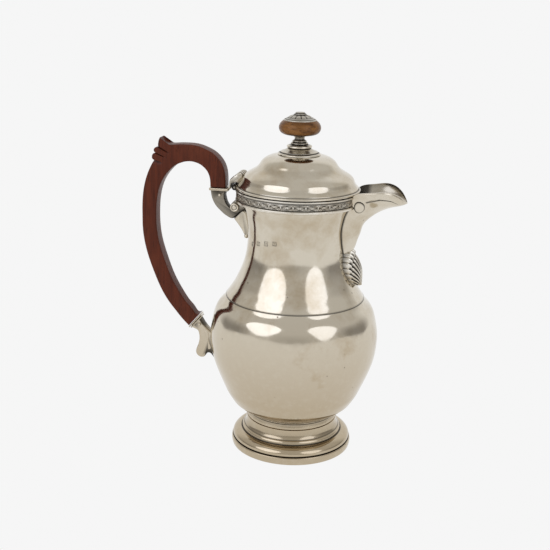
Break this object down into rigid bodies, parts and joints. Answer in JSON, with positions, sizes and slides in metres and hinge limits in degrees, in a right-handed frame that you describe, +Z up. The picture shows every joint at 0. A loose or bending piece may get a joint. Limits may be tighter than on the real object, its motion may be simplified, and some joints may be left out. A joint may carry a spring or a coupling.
{
  "type": "coffee pot",
  "caption": "Baluster coffee pot with a hinged domed lid, an open beak spout and a wooden scroll handle, for serving hot drinks.",
  "frame": {"origin": "centre of the object's bounding box on the plane the foot stands on", "axes": "+Z up, +X from the handle towards the spout, Y along the lid's hinge axis"},
  "size_m": [0.1778, 0.1138, 0.2301],
  "materials": {
    "silver": "polished, softly worn",
    "relief_silver": "polished relief with darkened recesses",
    "dull_silver": "dull, tarnished",
    "handle_wood": "dark red-brown stained, satin polish",
    "knob_wood": "mid brown, satin polish"
  },
  "bodies": {
    "pot": {"foot_wire": "silver", "foot_skirt": "silver", "foot_collar": "relief_silver", "bowl": "silver", "neck": "silver", "rim_band": "relief_silver", "spout": "silver", "spout_border_left": "silver", "spout_border_right": "silver", "spout_shell": "relief_silver", "upper_socket": "silver", "upper_socket_drop": "silver", "lower_socket": "silver", "handle": "handle_wood", "upper_handle_pin": "silver", "lower_handle_pin": "silver", "hinge_barrel_left": "dull_silver", "hinge_barrel_right": "dull_silver", "hinge_pin": "dull_silver"},
    "lid_assembly": {"hinge_barrel_lid": "dull_silver", "lid": "silver", "lid_bezel": "dull_silver", "thumbpiece": "silver", "finial_stem": "silver", "finial_knob": "knob_wood", "finial_cap": "silver", "finial_nut": "dull_silver"}
  },
  "joints": [
    {"name": "lid_hinge", "type": "hinge", "parent": "pot", "child": "lid_assembly", "pos_m": [-0.02425, 0, 0.17975], "axis": [0, -1, 0], "range_deg": [0, 50]}
  ]
}
